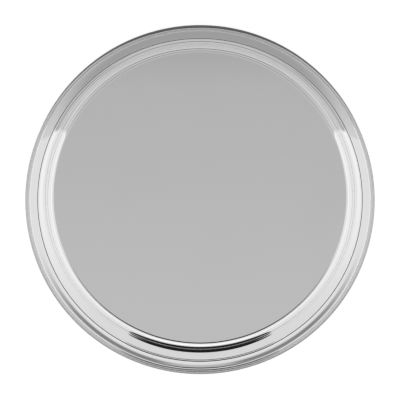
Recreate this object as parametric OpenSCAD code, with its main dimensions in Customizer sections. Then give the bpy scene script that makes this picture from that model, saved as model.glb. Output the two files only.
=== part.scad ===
// Round polished-steel offering plate: a spun well pan and a pressed rim ring lapped over its edge,
// with a wire rolled into the ring's hem and a felt pad under the floor.
// The origin is on the plate's axis, on the surface that the felt pad rests on.

/* [Plate] */
// Diameter across the outer band
outer_d = 305; // [304:1:330]
// Height from the table to the top of the rim
plate_h = 33; // [31:0.5:38]
// Thickness of the steel sheet
sheet_t = 1; // [0.8:0.1:1.2]

/* [Well] */
// Diameter of the flat floor, up to the start of its rounded corner
floor_d = 256.8; // [255:0.2:262]
// Inside radius of the corner between floor and wall
corner_r = 7.8; // [6:0.2:8]
// Slope of the wall, in degrees from the floor
wall_slope = 72; // [62:1:74]
// Diameter at the top of the wall, where the rim ring begins
seam_d = 283.6; // [283.2:0.2:285]
// Inside radius of the bend from the wall to the lap
bend_r = 0.3; // [0.2:0.1:0.6]

/* [Rim ring] */
// Width of the fine groove between the top of the wall and the ring's rounded inner edge
seam_w = 0.6; // [0.2:0.1:1]
// Slope of the flange, in degrees, rising outwards
flange_slope = 10; // [5:1:12]
// Slope of the upstanding lip, in degrees from the floor
lip_slope = 85; // [82:1:88]
// Inside radius where the flange turns up into the lip
lip_corner_r = 1.2; // [0.8:0.1:2]
// Inside radius of the fold at the top of the rim
fold_r = 0.3; // [0.2:0.1:0.4]
// Height of the outer band, from the top of the rim to the bottom of the hem
band_h = 29; // [20:0.5:30]
// Gap left between the lapped sheets, and around the wire
lap_gap = 0.05; // [0.02:0.01:0.08]

/* [Wire and pad] */
// Radius of the wire inside the hem
wire_r = 1.2; // [1:0.1:1.3]
// Diameter of the felt pad
pad_d = 248; // [180:1:252]
// Thickness of the felt pad
pad_t = 1.6; // [1:0.1:2]

/* [Hidden] */
outer_r = outer_d / 2;
floor_r = floor_d / 2;
seam_r = seam_d / 2;
// Height of the floor's upper face
floor_z = pad_t + sheet_t;
// Outward length of the lap that carries the rim ring
lap_w = 4.2;
// Inner and outer radius of the hem's curl, and how far round the wire it goes
hem_in_r = wire_r + lap_gap;
hem_out_r = hem_in_r + sheet_t;
hem_turn = 250;
// Steps in each arc of a profile, and sides of every turned surface
arc_steps = 14;
$fn = 180;

// Unit vectors along a slope, and square to it on its left
function along(a) = [cos(a), sin(a)];
function left_of(a) = [-sin(a), cos(a)];
// Where two lines cross: point p along direction u, and point q along direction v
function crossing(p, u, q, v) =
    let (d = q - p, k = (d[0] * v[1] - d[1] * v[0]) / (u[0] * v[1] - u[1] * v[0])) p + k * u;
// Points round an arc
function arc(centre, r, from, to) =
    [for (i = [0:arc_steps]) centre + r * along(from + (to - from) * i / arc_steps)];
function reversed(points) = [for (i = [len(points) - 1:-1:0]) points[i]];

// Well pan: the centres of its two bends, measured to the upper face of the sheet
corner_c = [floor_r, floor_z + corner_r];
wall_foot = corner_c - corner_r * left_of(wall_slope);
bend_out_r = bend_r + sheet_t;
bend_c_r = seam_r - bend_out_r * left_of(flange_slope)[0];
wall_top_r = bend_c_r + bend_out_r * left_of(wall_slope)[0];
wall_len = (wall_top_r - wall_foot[0]) / cos(wall_slope);
bend_c = wall_foot + wall_len * along(wall_slope) - bend_out_r * left_of(wall_slope);
lap_start = bend_c + bend_out_r * left_of(flange_slope);
lap_end = lap_start + lap_w * along(flange_slope);

// Rim ring: the flange lies on the lap, and the lip rises from it to the fold
nose_r = sheet_t / 2;
nose_c = lap_start + (nose_r + lap_gap) * left_of(flange_slope) + (nose_r + seam_w) * along(flange_slope);
fold_out_r = fold_r + sheet_t;
fold_c = [outer_r - fold_out_r, plate_h - fold_out_r];
lip_corner_c = crossing(
    nose_c + (nose_r + lip_corner_r) * left_of(flange_slope), along(flange_slope),
    fold_c + (fold_out_r + lip_corner_r) * left_of(lip_slope), along(lip_slope));
hem_c = [outer_r - hem_out_r, plate_h - band_h + hem_out_r];

module well_pan() {
    upper = concat(
        [[0, floor_z]],
        arc(corner_c, corner_r, -90, wall_slope - 90),
        arc(bend_c, bend_out_r, wall_slope + 90, flange_slope + 90),
        [lap_end]);
    lower = concat(
        [[0, pad_t]],
        arc(corner_c, corner_r + sheet_t, -90, wall_slope - 90),
        arc(bend_c, bend_r, wall_slope + 90, flange_slope + 90),
        [lap_end - sheet_t * left_of(flange_slope)]);
    color("gainsboro")
        rotate_extrude() polygon(concat(upper, reversed(lower)));
}

module rim_ring() {
    outside = concat(
        arc(nose_c, nose_r, flange_slope + 180, flange_slope + 90),
        arc(lip_corner_c, lip_corner_r, flange_slope - 90, lip_slope - 90),
        arc(fold_c, fold_out_r, lip_slope + 90, 0),
        arc(hem_c, hem_out_r, 0, -hem_turn));
    inside = concat(
        arc(nose_c, nose_r, flange_slope + 180, flange_slope + 270),
        arc(lip_corner_c, lip_corner_r + sheet_t, flange_slope - 90, lip_slope - 90),
        arc(fold_c, fold_r, lip_slope + 90, 0),
        arc(hem_c, hem_in_r, 0, -hem_turn));
    // both lists start at the same point of the nose, so the second leaves it out
    inside_rest = [for (i = [1:len(inside) - 1]) inside[i]];
    color("silver")
        rotate_extrude() polygon(concat(outside, reversed(inside_rest)));
}

module hem_wire() {
    color("dimgray")
        rotate_extrude() translate(hem_c) circle(r = wire_r, $fn = 32);
}

module base_pad() {
    color("maroon")
        cylinder(d = pad_d, h = pad_t);
}

well_pan();
rim_ring();
hem_wire();
base_pad();
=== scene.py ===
import math

import bmesh
import bpy
from bpy.props import FloatProperty, FloatVectorProperty, IntProperty, PointerProperty
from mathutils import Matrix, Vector


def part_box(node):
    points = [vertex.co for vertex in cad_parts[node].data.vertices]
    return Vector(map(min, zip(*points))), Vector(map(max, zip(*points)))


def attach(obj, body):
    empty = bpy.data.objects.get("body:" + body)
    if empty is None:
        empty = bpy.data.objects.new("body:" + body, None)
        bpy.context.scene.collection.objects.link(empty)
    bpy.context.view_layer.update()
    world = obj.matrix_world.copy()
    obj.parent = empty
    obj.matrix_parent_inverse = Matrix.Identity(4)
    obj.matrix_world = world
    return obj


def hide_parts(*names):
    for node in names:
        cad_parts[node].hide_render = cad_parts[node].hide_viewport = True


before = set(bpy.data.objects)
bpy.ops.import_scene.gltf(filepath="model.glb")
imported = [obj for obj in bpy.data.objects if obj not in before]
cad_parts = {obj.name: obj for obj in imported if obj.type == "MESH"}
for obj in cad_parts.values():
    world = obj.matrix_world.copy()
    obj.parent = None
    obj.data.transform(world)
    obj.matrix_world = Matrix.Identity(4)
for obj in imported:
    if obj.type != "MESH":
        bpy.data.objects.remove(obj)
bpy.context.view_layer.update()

bl_info = {
    "name": "Offering Plate",
    "version": (1, 0, 0),
    "blender": (4, 5, 0),
    "location": "3D View > Sidebar > Offering Plate",
    "description": "Builds a round polished-steel offering plate with a lapped rim ring and a felt base",
    "category": "Add Mesh",
}

BODY = "root"
MM = 0.001
FULL_TURN = 2 * math.pi
QUARTER_TURN = math.pi / 2
UP = Vector((0, 0, 1))
# Turning a profile, which lies in the XZ plane, about this axis takes it anticlockwise from +X to +Z
PROFILE_AXIS = Vector((0, -1, 0))
# Points of a mesh that lie closer together than this are one point
SAME_POINT = 0.001 * MM
# Length of the short step at each end of a straight run
END_STEP = 0.05 * MM
# The seam's painted shade, a near-black colour on the lap, starts this far short of the seam's radius
SEAM_START = 0.1 * MM
# Radius of the felt pad's worn edges, and the faces along each of them
PAD_EDGE = 0.4 * MM
PAD_EDGE_STEPS = 6
# The camera is aimed at this share of the plate's height
AIM = 0.62
FLOOR_RADIUS = 30.0
FLOOR_SEGMENTS = 96
# The floor, as the steel mirrors it, dims between these places along Y to this share of its brightness:
# painted shade in the floor's reflection, darkest at +Y
TABLE_BRIGHT_TO, TABLE_DIM_FROM, TABLE_DIM_SHARE = -0.1, 0.2, 0.25

# Outputs of the nodes that give coordinates and kinds of ray, and the material indices of a shell
GENERATED, OBJECT = 0, 3
CAMERA_RAY, GLOSSY_RAY = 0, 3
OUTER_FACE, THIRD_SLOT = 0, 2


def node_reach(node):
    """The furthest that a CAD node reaches from the plate's axis."""
    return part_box(node)[1].x


def node_span(node):
    """The lowest and highest point of a CAD node."""
    low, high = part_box(node)
    return low.z, high.z


RIM_LOW, RIM_HIGH = node_span("rim_ring")
WIRE_LOW, WIRE_HIGH = node_span("hem_wire")
PAD_TOP = node_span("base_pad")[1]


def length(name, description, default):
    """A length that the sidebar shows in the scene's units."""
    return FloatProperty(name=name, description=description, default=default,
                         min=0.0, precision=5, subtype="DISTANCE", unit="LENGTH")


def angle(name, description, degrees):
    """An angle that the sidebar shows in degrees."""
    return FloatProperty(name=name, description=description, default=math.radians(degrees),
                         subtype="ANGLE", unit="ROTATION")


def tone(name, description, default, high=4.0):
    """A brightness, where 1 is paper white."""
    return FloatProperty(name=name, description=description, default=default, min=0.0, max=high)


def colour(name, description, default):
    """A surface colour."""
    return FloatVectorProperty(name=name, description=description, default=default,
                               size=3, min=0.0, max=1.0, subtype="COLOR")


class PlateSizes(bpy.types.PropertyGroup):
    """Sizes of the plate's pieces."""
    outer_radius: length("Outer radius", "Radius of the outer band", node_reach("rim_ring"))
    rim_top: length("Rim height", "Height of the top of the rim above the table", RIM_HIGH)
    hem_bottom: length("Hem height", "Height of the bottom of the hem above the table", RIM_LOW)
    sheet: length("Sheet", "Thickness of the steel sheet", 1.0 * MM)
    floor_radius: length("Floor radius", "Radius of the flat floor", 128.4 * MM)
    corner_radius: length("Corner", "Inside radius between floor and wall", 7.8 * MM)
    wall_slope: angle("Wall slope", "Slope of the wall from the floor", 72)
    seam_radius: length("Seam radius", "Radius at the top of the wall", 141.8 * MM)
    bend_radius: length("Bend", "Inside radius of the bend from wall to lap", 0.3 * MM)
    lap_width: length("Lap", "Width of the lap that carries the rim ring", 4.2 * MM)
    seam_width: length("Seam width", "Width of the groove between wall and rim ring", 0.6 * MM)
    lap_gap: length("Lap gap", "Gap between the lapped sheets", 0.05 * MM)
    flange_slope: angle("Flange slope", "Slope of the flange, rising outwards", 10)
    lip_slope: angle("Lip slope", "Slope of the upstanding lip", 85)
    lip_corner: length("Lip corner", "Inside radius between flange and lip", 1.2 * MM)
    fold_radius: length("Fold", "Inside radius of the fold at the top of the rim", 0.3 * MM)
    hem_turn: angle("Hem turn", "How far the hem curls round its wire", 250)
    wire_radius: length("Wire radius", "Radius of the wire in the hem", (WIRE_HIGH - WIRE_LOW) / 2)
    pad_radius: length("Pad radius", "Radius of the felt pad", node_reach("base_pad"))
    brushed_width: length("Brushed edge", "Width of the brushed lip and fold, from above", 3.1 * MM)
    flange_bow: angle("Flange bow", "How far the crowned flange leans either side of its slope", 1.2)
    pad_thickness: length("Pad thickness", "Thickness of the felt pad", PAD_TOP)
    turn_steps: IntProperty(name="Turn steps", description="Faces round each turned piece",
                            default=432, min=90, max=720)
    corner_steps: IntProperty(name="Corner steps", description="Faces along the corner round the floor",
                              default=44, min=8, max=96)
    arc_steps: IntProperty(name="Arc steps", description="Faces along each smaller bend of a profile",
                           default=20, min=4, max=48)


class PlateFinish(bpy.types.PropertyGroup):
    """Colours and finishes of the plate's pieces."""
    steel: colour("Steel", "Colour of the polished steel", (0.93, 0.93, 0.93))
    steel_worn: colour("Worn steel", "Colour where handling has dulled the polish", (0.91, 0.91, 0.912))
    satin: colour("Satin steel", "Colour of the unpolished underside", (0.56, 0.56, 0.57))
    brushed: colour("Brushed steel", "Colour of the brushed edge of the rim", (0.64, 0.64, 0.645))
    # painted shade: the near-black colour on the lap that makes the seam show as a dark line
    seam: colour("Seam", "Colour of the residue in the seam", (0.03, 0.03, 0.03))
    wire: colour("Wire", "Colour of the wire in the hem", (0.42, 0.42, 0.43))
    felt: colour("Felt", "Colour of the felt pad", (0.16, 0.012, 0.025))
    felt_light: colour("Light felt", "Colour of the felt's raised fibres", (0.30, 0.035, 0.055))
    polish: tone("Polish", "Roughness of the polished faces", 0.018, 1.0)


class StudioSettings(bpy.types.PropertyGroup):
    """The camera and the light round the plate."""
    camera_tilt: angle("Camera tilt", "How far the camera leans off the plate's axis, towards +Y", 6.2)
    camera_distance: length("Camera distance", "Distance from the camera to the plate", 3.5)
    frame_width: length("Frame width", "Width of the view at the plate", 350.4 * MM)
    white: tone("White panels", "Brightness of the white panels", 0.93)
    grey: tone("Grey panel", "Brightness of the grey panel overhead and behind", 0.524)
    black: tone("Black gap", "Brightness of the dome's dark gaps, added to all of it", 0.015)
    corner: tone("Panel corner", "How far the grey panel's corner lies from the zenith", 0.058)
    floor: tone("Floor", "Brightness that the floor gives of itself", 0.6)
    # painted shade: the dim brightness the steel mirrors in place of the lit floor
    table: tone("Table", "Brightness of the floor where the plate's mirror finish shows it", 0.42)


class Value:
    """A shader socket that can be used in sums."""

    def __init__(self, shader, socket):
        self.shader = shader
        self.socket = socket

    def _maths(self, operation, *values):
        return self.shader.node("ShaderNodeMath", {"operation": operation}, dict(enumerate(values)))

    def __add__(self, other):
        return self._maths("ADD", self, other)

    def __radd__(self, other):
        return self._maths("ADD", other, self)

    def __sub__(self, other):
        return self._maths("SUBTRACT", self, other)

    def __rsub__(self, other):
        return self._maths("SUBTRACT", other, self)

    def __mul__(self, other):
        return self._maths("MULTIPLY", self, other)

    def __truediv__(self, other):
        return self._maths("DIVIDE", self, other)

    def __gt__(self, other):
        return self._maths("GREATER_THAN", self, other)

    def power(self, other):
        return self._maths("POWER", self, other)

    def absolute(self):
        return self._maths("ABSOLUTE", self)

    def step(self, start, end, low=0.0, high=1.0):
        """Rises smoothly from low to high as this value goes from start to end."""
        return self.shader.node("ShaderNodeMapRange", {"interpolation_type": "SMOOTHSTEP"},
                                {0: self, 1: start, 2: end, 3: low, 4: high})


class Shader:
    """Builds the nodes of one material or world."""

    def __init__(self, owner):
        owner.use_nodes = True
        self.tree = owner.node_tree
        self.tree.nodes.clear()

    def node(self, kind, settings=None, inputs=None, output=0):
        """Adds a node, applies its settings, then sets or links its inputs; returns one output."""
        made = self.tree.nodes.new(kind)
        for name, value in (settings or {}).items():
            setattr(made, name, value)
        for name, value in (inputs or {}).items():
            if isinstance(value, Value):
                self.tree.links.new(value.socket, made.inputs[name])
            else:
                made.inputs[name].default_value = value
        return Value(self, made.outputs[output]) if made.outputs else None

    def mix(self, factor, first, second):
        """Mixes two colours."""
        first, second = ((*c, 1.0) if isinstance(c, tuple) else c for c in (first, second))
        return self.node("ShaderNodeMix", {"data_type": "RGBA"}, {0: factor, 6: first, 7: second}, 2)

    def parts(self, vector):
        """The X, Y and Z of a vector."""
        return [self.node("ShaderNodeSeparateXYZ", None, {0: vector}, i) for i in range(3)]

    def noise(self, vector, scale, detail=2.0, roughness=0.5, distortion=0.0):
        return self.node("ShaderNodeTexNoise", None, {
            "Vector": vector, "Scale": scale, "Detail": detail, "Roughness": roughness,
            "Distortion": distortion})

    def object_point(self):
        return self.node("ShaderNodeTexCoord", None, None, OBJECT)

    def stretched(self, vector, scale, turn=0.0):
        """The same point with its axes scaled and turned about Z."""
        return self.node("ShaderNodeMapping", None, {
            "Vector": vector, "Rotation": (0.0, 0.0, turn), "Scale": scale})

    def bump(self, height, strength, distance):
        return self.node("ShaderNodeBump", None, {
            "Height": height, "Strength": strength, "Distance": distance})

    def principled(self, **inputs):
        surface = self.node("ShaderNodeBsdfPrincipled", None,
                            {name.replace("_", " "): value for name, value in inputs.items()})
        self.node("ShaderNodeOutputMaterial", None, {"Surface": surface})


def new_material(name):
    material = bpy.data.materials.new(name)
    return material, Shader(material)


def round_axis(shader):
    """Coordinates of a turned piece: the point, its angle round the axis, its distance and height."""
    point = shader.object_point()
    x, y, z = shader.parts(point)
    radius = (x * x + y * y).power(0.5)
    turn = shader.node("ShaderNodeMath", {"operation": "ARCTAN2"}, {0: y, 1: x})
    return point, turn, radius, z


def round_lines(shader, radius, height, turn, across, along_lines):
    """A point whose noise makes lines round the axis: closely spaced across them, long along them."""
    return shader.node("ShaderNodeCombineXYZ", None, {
        0: radius * across, 1: height * across, 2: turn * along_lines})


def hairlines(shader, point, turn, scale, threshold):
    """Fine straight wipe marks that lie one way: 1 on a mark and 0 off it."""
    lines = shader.noise(shader.stretched(point, (scale, scale / 60, scale), turn), 1.0, 3.0, 0.6)
    patches = shader.noise(shader.stretched(point, (9.0, 9.0, 9.0), turn), 1.0, 1.0)
    return lines.step(threshold, threshold + 0.05) * patches.step(0.48, 0.62)


def polished_steel(finish):
    """Mirror-polished steel: nearly clear, with faint wipe marks and a slow drift in the polish."""
    material, s = new_material("polished_steel")
    point, _, radius, _ = round_axis(s)
    smears = s.noise(point, 14.0, 3.0, 0.55, 0.4)
    marks = hairlines(s, point, 0.5, 2600.0, 0.66) + hairlines(s, point, 2.1, 3100.0, 0.67)
    rings = s.noise(s.node("ShaderNodeCombineXYZ", None, {0: radius * 900.0, 1: 0.0, 2: 0.0}), 1.0, 2.0)
    worn = smears.step(0.45, 0.75)
    s.principled(
        Base_Color=s.mix(worn * 0.6, tuple(finish.steel), tuple(finish.steel_worn)),
        Metallic=1.0,
        Roughness=finish.polish + worn * 0.012 + marks * 0.05,
        Normal=s.bump(rings * 0.5 + marks * -0.6, 0.05, 0.00002))
    return material


def satin_steel(finish):
    """The underside as it came off the lathe: fine rings left by the spinning tool, and dull patches."""
    material, s = new_material("satin_steel")
    point, turn, radius, height = round_axis(s)
    rings = s.noise(round_lines(s, radius, height, turn, 2400.0, 1.5), 1.0, 3.0, 0.6)
    broad = s.noise(round_lines(s, radius, height, turn, 260.0, 1.0), 1.0, 2.0)
    patches = s.noise(point, 22.0, 3.0, 0.6)
    s.principled(
        Base_Color=s.mix(patches.step(0.35, 0.7) * 0.5 + rings * 0.3,
                         tuple(finish.satin), (0.47, 0.47, 0.48)),
        Metallic=1.0,
        Roughness=0.24 + rings * 0.12 + patches.step(0.4, 0.7) * 0.08,
        Normal=s.bump(rings + broad * 0.8, 0.35, 0.00008))
    return material


def brushed_steel(finish):
    """The brushed lip, fold and outer band: fine lines that run round them, and a soft shine."""
    material, s = new_material("brushed_steel")
    point, turn, radius, height = round_axis(s)
    lines = s.noise(round_lines(s, radius, height, turn, 7000.0, 9.0), 1.0, 3.0, 0.6)
    smears = s.noise(point, 30.0, 2.0)
    s.principled(
        Base_Color=s.mix(lines.step(0.3, 0.7), tuple(finish.brushed), (0.66, 0.66, 0.665)),
        Metallic=1.0,
        Roughness=0.2 + lines * 0.1 + smears * 0.04,
        Normal=s.bump(lines, 0.25, 0.00002))
    return material


def seam_painted_shade(finish):
    """The lap inside the seam: never polished, and coloured near-black as painted shade, so that the
    groove between wall and rim ring shows as a dark line.
    """
    material, s = new_material("seam_painted_shade")
    # painted shade: the mottle only varies the near-black colour that stands in for the seam's shade
    shade_mottle = s.noise(s.object_point(), 700.0, 3.0, 0.6)
    s.principled(
        Base_Color=s.mix(shade_mottle.step(0.4, 0.7), tuple(finish.seam), (0.09, 0.088, 0.085)),
        Metallic=0.3,
        Roughness=0.6 + shade_mottle * 0.2,
        Normal=s.bump(shade_mottle, 0.5, 0.00005))
    return material


def drawn_wire(finish):
    """Drawn wire: dull steel with fine lines along its length."""
    material, s = new_material("drawn_wire")
    _, turn, radius, height = round_axis(s)
    lines = s.noise(round_lines(s, radius, height, turn, 9000.0, 8.0), 1.0, 2.0)
    s.principled(
        Base_Color=s.mix(lines, tuple(finish.wire), (0.30, 0.30, 0.31)),
        Metallic=1.0,
        Roughness=0.38 + lines * 0.15,
        Normal=s.bump(lines, 0.4, 0.00004))
    return material


def pressed_felt(finish):
    """Pressed wool felt: matted fibres, small clumps and a soft sheen."""
    material, s = new_material("felt")
    point = s.object_point()
    bent = s.noise(point, 900.0, 3.0, 0.6)
    fibres = s.noise(s.stretched(point, (5200.0, 900.0, 2600.0), 0.4), 1.0, 3.0, 0.65, 1.6)
    crossing = s.noise(s.stretched(point, (900.0, 5200.0, 2600.0), 1.1), 1.0, 3.0, 0.65, 1.6)
    clumps = s.noise(point, 160.0, 4.0, 0.6)
    mat = fibres * 0.5 + crossing * 0.5
    s.principled(
        Base_Color=s.mix(mat.step(0.35, 0.7) * 0.7 + clumps.step(0.4, 0.8) * 0.3,
                         tuple(finish.felt), tuple(finish.felt_light)),
        Roughness=0.95,
        Sheen_Weight=0.2,
        Sheen_Roughness=0.45,
        Specular_IOR_Level=0.2,
        Normal=s.bump(mat + bent * 0.5 + clumps * 0.7, 0.5, 0.0002))
    return material


class Profile:
    """One face of a sheet, drawn in the XZ plane from its first point on, then turned round the axis."""

    def __init__(self, radius, height):
        self.mesh = bmesh.new()
        self.end = self.mesh.verts.new((radius, 0.0, height))

    def run_to(self, radius, height):
        """A straight run, with a short step at each end so that the bends beside it don't shade it."""
        start = self.end.co.copy()
        goal = Vector((radius, 0.0, height))
        run = goal - start
        step = min(END_STEP, run.length / 4)
        for place in (start + run.normalized() * step, goal - run.normalized() * step, goal):
            made = bmesh.ops.extrude_vert_indiv(self.mesh, verts=[self.end])
            self.end = made["verts"][0]
            self.end.co = place

    def bend(self, centre, turn, steps):
        """A round bend about a centre, anticlockwise where turn is positive."""
        made = bmesh.ops.spin(self.mesh, geom=[self.end], cent=centre, axis=PROFILE_AXIS,
                              angle=turn, steps=steps, use_duplicate=False)
        self.end = made["geom_last"][0]

    def bowed_run_to(self, goal, bow, steps):
        """A run that is crowned: it starts steeper than its chord by the bow, and ends flatter by it."""
        chord = goal - self.end.co
        radius = chord.length / (2 * math.sin(bow))
        inwards = PROFILE_AXIS.cross(chord.normalized())
        self.bend(self.end.co + chord / 2 - radius * math.cos(bow) * inwards, -2 * bow, steps)

    def turned(self, steps):
        """The profile turned once round the plate's axis, as a closed ring of faces."""
        edges_and_points = self.mesh.verts[:] + self.mesh.edges[:]
        bmesh.ops.spin(self.mesh, geom=edges_and_points, cent=(0, 0, 0), axis=UP,
                       angle=FULL_TURN, steps=steps, use_merge=True, use_duplicate=False)
        bmesh.ops.remove_doubles(self.mesh, verts=self.mesh.verts[:], dist=SAME_POINT)
        bmesh.ops.recalc_face_normals(self.mesh, faces=self.mesh.faces[:])
        return self.mesh


def finished_piece(mesh, name, materials):
    """Makes a bmesh into a smooth object at the origin that moves with the plate."""
    data = bpy.data.meshes.new(name)
    mesh.to_mesh(data)
    mesh.free()
    for material in materials:
        data.materials.append(material)
    data.shade_smooth()
    piece = bpy.data.objects.new(name, data)
    bpy.context.scene.collection.objects.link(piece)
    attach(piece, BODY)
    return piece


def in_profile(radius, height):
    return Vector((radius, 0.0, height))


def along(slope):
    """The unit vector up a slope, away from the axis."""
    return in_profile(math.cos(slope), math.sin(slope))


def above(slope):
    """The unit vector square to a slope, upwards and towards the axis."""
    return in_profile(-math.sin(slope), math.cos(slope))


def crossing_point(first, first_way, second, second_way):
    """Where two lines in the profile cross."""
    gap = second - first
    reach = (gap.x * second_way.z - gap.z * second_way.x) / (
        first_way.x * second_way.z - first_way.z * second_way.x)
    return first + reach * first_way


def lap_layout(sizes):
    """Centres of the pan's two bends, and the start of the lap, on the upper face of the sheet."""
    corner = in_profile(sizes.floor_radius, sizes.pad_thickness + sizes.sheet + sizes.corner_radius)
    foot = corner - sizes.corner_radius * above(sizes.wall_slope)
    outside = sizes.bend_radius + sizes.sheet
    bend_reach = sizes.seam_radius - outside * above(sizes.flange_slope).x
    wall_top = bend_reach + outside * above(sizes.wall_slope).x
    wall = (wall_top - foot.x) / math.cos(sizes.wall_slope)
    bend = foot + wall * along(sizes.wall_slope) - outside * above(sizes.wall_slope)
    return corner, bend, bend + outside * above(sizes.flange_slope)


def hem_layout(sizes):
    """The centre of the hem, which is the wire's too, and the hem's outer radius."""
    radius = sizes.wire_radius + sizes.lap_gap + sizes.sheet
    return in_profile(sizes.outer_radius - radius, sizes.hem_bottom + radius), radius


def joined(profiles, steps):
    """Turns the faces of a sheet, each with its own material index, and closes them into one shell."""
    whole = bmesh.new()
    for index, profile in enumerate(profiles):
        side = profile.turned(steps)
        for face in side.faces:
            face.material_index = index
        data = bpy.data.meshes.new("side")
        side.to_mesh(data)
        side.free()
        whole.from_mesh(data)
        bpy.data.meshes.remove(data)
    bmesh.ops.remove_doubles(whole, verts=whole.verts[:], dist=SAME_POINT)
    bmesh.ops.recalc_face_normals(whole, faces=whole.faces[:])
    return whole


def face_reach(face):
    """How far the middle of a face lies from the plate's axis."""
    return face.calc_center_median().xy.length


def pan_side(sizes, depth):
    """One face of the well pan, a given depth below the sheet's upper face."""
    corner, bend, lap_start = lap_layout(sizes)
    wall_slope, flange_slope = sizes.wall_slope, sizes.flange_slope
    corner_radius = sizes.corner_radius + depth
    bend_radius = sizes.bend_radius + sizes.sheet - depth
    floor_height = corner.z - corner_radius
    side = Profile(0.0, floor_height)
    side.run_to(sizes.floor_radius, floor_height)
    side.bend(corner, wall_slope, sizes.corner_steps)
    wall_top = bend + bend_radius * above(wall_slope)
    side.run_to(wall_top.x, wall_top.z)
    side.bend(bend, flange_slope - wall_slope, sizes.arc_steps)
    lap_end = lap_start + sizes.lap_width * along(flange_slope) - depth * above(flange_slope)
    side.run_to(lap_end.x, lap_end.z)
    return side, lap_end


def ring_side(sizes, depth):
    """One face of the rim ring, a given depth inside its outer face."""
    flange_slope, lip_slope, steps = sizes.flange_slope, sizes.lip_slope, sizes.arc_steps
    nose_radius = sizes.sheet / 2
    outer = depth == 0.0
    nose = lap_layout(sizes)[2] + (nose_radius + sizes.lap_gap) * above(flange_slope)
    nose += (nose_radius + sizes.seam_width) * along(flange_slope)
    fold_out = sizes.fold_radius + sizes.sheet
    fold = in_profile(sizes.outer_radius - fold_out, sizes.rim_top - fold_out)
    lip_corner = crossing_point(
        nose + (nose_radius + sizes.lip_corner) * above(flange_slope), along(flange_slope),
        fold + (fold_out + sizes.lip_corner) * above(lip_slope), along(lip_slope))
    hem, hem_out = hem_layout(sizes)

    tip = nose - nose_radius * along(flange_slope)
    side = Profile(tip.x, tip.z)
    side.bend(nose, -QUARTER_TURN if outer else QUARTER_TURN, steps)
    start = lip_corner - (sizes.lip_corner + depth) * above(flange_slope)
    if outer:
        side.bowed_run_to(start, sizes.flange_bow, steps)
    else:
        side.run_to(start.x, start.z)
    side.bend(lip_corner, lip_slope - flange_slope, steps)
    start = fold + (fold_out - depth) * above(lip_slope)
    side.run_to(start.x, start.z)
    side.bend(fold, -(lip_slope + QUARTER_TURN), steps)
    side.run_to(hem.x + hem_out - depth, hem.z)
    side.bend(hem, -sizes.hem_turn, steps)
    return side


class PLATE_OT_well_pan(bpy.types.Operator):
    """Spins the well pan: floor, corner, wall and the lap that carries the rim ring"""
    bl_idname = "plate.well_pan"
    bl_label = "Well Pan"

    def execute(self, context):
        sizes, finish = context.scene.plate_sizes, context.scene.plate_finish
        upper, lap_end = pan_side(sizes, 0.0)
        under, _ = pan_side(sizes, sizes.sheet)
        under.run_to(lap_end.x, lap_end.z)
        shell = joined([upper, under], sizes.turn_steps)
        # the lap's faces past the seam get the seam's painted shade, a near-black colour
        for face in shell.faces:
            if face_reach(face) > sizes.seam_radius - SEAM_START:
                face.material_index = THIRD_SLOT
        pan = finished_piece(shell, "steel_well",
                             [polished_steel(finish), satin_steel(finish), seam_painted_shade(finish)])
        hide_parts("well_pan")
        return {"FINISHED"}


class PLATE_OT_rim_ring(bpy.types.Operator):
    """Turns the rim ring: flange, upstanding lip, fold, outer band and the hem round its wire"""
    bl_idname = "plate.rim_ring"
    bl_label = "Rim Ring"

    def execute(self, context):
        sizes, finish = context.scene.plate_sizes, context.scene.plate_finish
        outside = ring_side(sizes, 0.0)
        inside = ring_side(sizes, sizes.sheet)
        end = outside.end.co
        inside.run_to(end.x, end.z)
        shell = joined([outside, inside], sizes.turn_steps)
        brushed_from = sizes.outer_radius - sizes.brushed_width
        for face in shell.faces:
            if face.material_index == OUTER_FACE and face_reach(face) > brushed_from:
                face.material_index = THIRD_SLOT
        ring = finished_piece(shell, "steel_rim",
                              [polished_steel(finish), satin_steel(finish), brushed_steel(finish)])
        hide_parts("rim_ring")
        return {"FINISHED"}


class PLATE_OT_hem_wire(bpy.types.Operator):
    """Bends the wire that stiffens the hem"""
    bl_idname = "plate.hem_wire"
    bl_label = "Hem Wire"

    def execute(self, context):
        sizes, finish = context.scene.plate_sizes, context.scene.plate_finish
        hem, _ = hem_layout(sizes)
        section = Profile(hem.x + sizes.wire_radius, hem.z)
        section.bend(hem, FULL_TURN, 2 * sizes.arc_steps)
        wire = finished_piece(section.turned(sizes.turn_steps), "steel_wire", [drawn_wire(finish)])
        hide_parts("hem_wire")
        return {"FINISHED"}


class PLATE_OT_base_pad(bpy.types.Operator):
    """Cuts the felt pad that is glued under the floor"""
    bl_idname = "plate.base_pad"
    bl_label = "Base Pad"

    def execute(self, context):
        sizes, finish = context.scene.plate_sizes, context.scene.plate_finish
        top, radius = sizes.pad_thickness, sizes.pad_radius
        section = Profile(0.0, 0.0)
        section.run_to(radius - PAD_EDGE, 0.0)
        section.bend(in_profile(radius - PAD_EDGE, PAD_EDGE), QUARTER_TURN, PAD_EDGE_STEPS)
        section.run_to(radius, top - PAD_EDGE)
        section.bend(in_profile(radius - PAD_EDGE, top - PAD_EDGE), QUARTER_TURN, PAD_EDGE_STEPS)
        section.run_to(0.0, top)
        pad = finished_piece(section.turned(sizes.turn_steps), "felt_pad", [pressed_felt(finish)])
        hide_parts("base_pad")
        return {"FINISHED"}


# Where things hang in the studio's dome. Lean and side are tangents of the angle from the zenith, towards
# +Y and sideways. Rise is the sine of the height above the horizon. Toward and across are the shares of a
# level direction that point to +Y and sideways.
WEDGE_SPREAD = 0.607
LENS_LEAN, LENS_START, LENS_END = 0.04, 0.130, 0.138
OPENING_WIDTH, OPENING_RISE = 0.52, 0.61
# The band's centre lies this far towards -Y; the share of light that it takes, and how much less at +Y
BAND_LEAN, BAND_SHARE, BAND_GAP = 0.115, 0.72, 0.35
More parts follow.
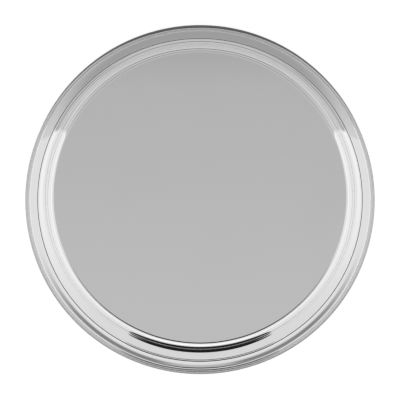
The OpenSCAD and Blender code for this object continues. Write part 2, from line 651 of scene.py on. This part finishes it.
# Smallest values of what the directions are divided by
LOWEST_HEIGHT, LOWEST_LEVEL, LOWEST_SPAN = 0.01, 0.0001, 0.02


def wedge_share(side, lean, corner):
    """1 on the grey panel, a wedge that opens towards -Y from a corner just short of the zenith."""
    edge = lean + corner + side * WEDGE_SPREAD
    return (edge / (side + lean.absolute() + LOWEST_SPAN)).step(-0.01, 0.01, 1.0, 0.0)


def grey_panel(side, depth, toward):
    """Shading of the grey panel by its depth towards -Y, with lighter flanks and one dark band."""
    grey = depth.step(0.05, 0.15, 0.86, 1.0) * depth.step(0.066, 0.082, 0.86, 1.0)
    grey = grey - depth.step(0.24, 0.40) * depth.step(0.56, 0.62, 1.0, 0.0) * 0.34
    grey = grey + depth.step(0.56, 0.64) * (0.16 + toward.step(-1.0, -0.5) * 0.26)
    flank = side.step(0.1, 0.3) * depth.step(0.6, 0.7, 1.0, 0.0)
    grey = grey + flank * toward.step(-0.9, -0.6) * 0.25
    return grey - depth.step(1.0, 1.07) * depth.step(1.40, 1.48, 1.0, 0.0) * 0.9


def white_panels(rise, toward):
    """Shading of the white panels: dim overhead, bright at mid-height and duller below, most at +Y."""
    white = rise.step(0.92, 0.84, 0.84, 1.08)
    white = white * (1.0 - rise.step(0.79, 0.74) * (toward.step(0.1, 1.0) * 0.12 + 0.12))
    # a brighter patch hangs high at +Y
    return white + toward.step(0.85, 1.0) * rise.step(0.975, 0.95) * rise.step(0.76, 0.80) * 0.12


def lens_gap(side, lean):
    """1 in the round dark gap near the zenith."""
    off = lean - LENS_LEAN
    return (side * side + off * off).power(0.5).step(LENS_START, LENS_END, 1.0, 0.0)


def dark_opening(across, rise, y):
    """1 in the low dark opening at +Y, which has rounded corners."""
    outline = (across / OPENING_WIDTH).power(4.0) + (rise / OPENING_RISE).power(4.0)
    return outline.step(0.85, 1.0, 1.0, 0.0) * (y > 0.0)


def flange_band(side, lean):
    """A soft grey band that only the outer half of the flange is turned towards."""
    shifted = lean + BAND_LEAN
    spread = (side * side + shifted * shifted).power(0.5)
    facing = shifted / spread
    band = spread.step(0.274, 0.284) * spread.step(0.308, 0.338, 1.0, 0.0) * facing.step(0.25, 0.8)
    return band * (BAND_SHARE - facing.step(0.96, 1.0) * BAND_GAP)


def studio_dome(settings):
    """The light round the plate: white panels, a grey panel overhead and behind, and dark gaps."""
    world = bpy.data.worlds.new("studio")
    bpy.context.scene.world = world
    s = Shader(world)
    x, y, z = s.parts(s.node("ShaderNodeTexCoord", None, None, GENERATED))
    height = s.node("ShaderNodeMath", {"operation": "MAXIMUM"}, {0: z, 1: LOWEST_HEIGHT})
    side, lean = (x / height).absolute(), y / height
    level = (x * x + y * y).power(0.5) + LOWEST_LEVEL
    toward, across = y / level, x / level
    rise = z / (x * x + y * y + z * z).power(0.5)

    wedge = wedge_share(side, lean, settings.corner)
    light = (white_panels(rise, toward) * settings.white * (1.0 - wedge)
             + grey_panel(side, lean * -1.0, toward) * settings.grey * wedge)
    light = light * (1.0 - lens_gap(side, lean) * (1.0 - wedge))
    light = light * (1.0 - dark_opening(across, rise, y)) * (1.0 - flange_band(side, lean))
    light = light + settings.black

    # the camera sees plain white behind the plate, and only the steel sees the dome
    seen = s.node("ShaderNodeLightPath", None, None, CAMERA_RAY)
    background = s.node("ShaderNodeBackground", None, {
        "Color": light * (1.0 - seen) + seen, "Strength": 1.0})
    s.node("ShaderNodeOutputWorld", None, {"Surface": background})


def pale_floor(settings):
    """A plain pale floor that the plate rests on. Where the plate's mirror finish shows it, it is painted
    darker, and darker still towards +Y: painted shade in the floor's reflection.
    """
    material, s = new_material("studio_floor")
    point = s.object_point()
    speckle = s.noise(point, 3.0)
    paper = s.node("ShaderNodeBsdfPrincipled", None, {
        "Base Color": s.mix(speckle, (0.86, 0.86, 0.86), (0.88, 0.88, 0.88)), "Roughness": 0.9,
        "Specular IOR Level": 0.0, "Emission Color": (1.0, 1.0, 1.0, 1.0),
        "Emission Strength": settings.floor})
    # painted shade: the steel mirrors a dim emission, dimmer towards +Y, in place of the lit floor
    shade = s.parts(point)[1].step(
        TABLE_BRIGHT_TO, TABLE_DIM_FROM, settings.table, settings.table * TABLE_DIM_SHARE)
    table = s.node("ShaderNodeEmission", None, {"Color": shade, "Strength": 1.0})
    mirrored = s.node("ShaderNodeLightPath", None, None, GLOSSY_RAY)
    surface = s.node("ShaderNodeMixShader", None, {0: mirrored, 1: paper, 2: table})
    s.node("ShaderNodeOutputMaterial", None, {"Surface": surface})
    mesh = bmesh.new()
    bmesh.ops.create_circle(mesh, cap_ends=True, segments=FLOOR_SEGMENTS, radius=FLOOR_RADIUS)
    data = bpy.data.meshes.new("studio_floor")
    mesh.to_mesh(data)
    mesh.free()
    data.materials.append(material)
    floor = bpy.data.objects.new("studio_floor", data)
    bpy.context.scene.collection.objects.link(floor)


class PLATE_OT_stage(bpy.types.Operator):
    """Sets the camera above the plate, the light round it and the floor under it"""
    bl_idname = "plate.stage"
    bl_label = "Stage"

    def execute(self, context):
        settings, sizes = context.scene.studio_settings, context.scene.plate_sizes
        scene = context.scene
        scene.view_settings.view_transform = "Standard"
        target = Vector((0, 0, sizes.rim_top * AIM))
        back = Vector((0, math.sin(settings.camera_tilt), math.cos(settings.camera_tilt)))
        camera = bpy.data.objects.new("camera", bpy.data.cameras.new("camera"))
        camera.data.lens = camera.data.sensor_width * settings.camera_distance / settings.frame_width
        camera.location = target + settings.camera_distance * back
        camera.rotation_euler = (-settings.camera_tilt, 0, 0)
        scene.collection.objects.link(camera)
        scene.camera = camera
        studio_dome(settings)
        pale_floor(settings)
        return {"FINISHED"}


class PLATE_PT_panel(bpy.types.Panel):
    """Lists the plate's pieces in the sidebar"""
    bl_idname = "PLATE_PT_panel"
    bl_label = "Offering Plate"
    bl_space_type = "VIEW_3D"
    bl_region_type = "UI"
    bl_category = "Offering Plate"

    def draw(self, context):
        for operator in OPERATORS:
            self.layout.operator(operator.bl_idname)
        scene = context.scene
        for group in (scene.plate_sizes, scene.plate_finish, scene.studio_settings):
            box = self.layout.box()
            for name in group.__annotations__:
                box.prop(group, name)


OPERATORS = (PLATE_OT_stage, PLATE_OT_well_pan, PLATE_OT_rim_ring, PLATE_OT_hem_wire, PLATE_OT_base_pad)
CLASSES = (PlateSizes, PlateFinish, StudioSettings, *OPERATORS, PLATE_PT_panel)


def register():
    for made in CLASSES:
        bpy.utils.register_class(made)
    bpy.types.Scene.plate_sizes = PointerProperty(type=PlateSizes)
    bpy.types.Scene.plate_finish = PointerProperty(type=PlateFinish)
    bpy.types.Scene.studio_settings = PointerProperty(type=StudioSettings)


def unregister():
    del bpy.types.Scene.studio_settings
    del bpy.types.Scene.plate_finish
    del bpy.types.Scene.plate_sizes
    for made in reversed(CLASSES):
        bpy.utils.unregister_class(made)


def main():
    register()
    for operator in OPERATORS:
        group, name = operator.bl_idname.split(".")
        getattr(getattr(bpy.ops, group), name)()


if __name__ == "__main__":
    main()
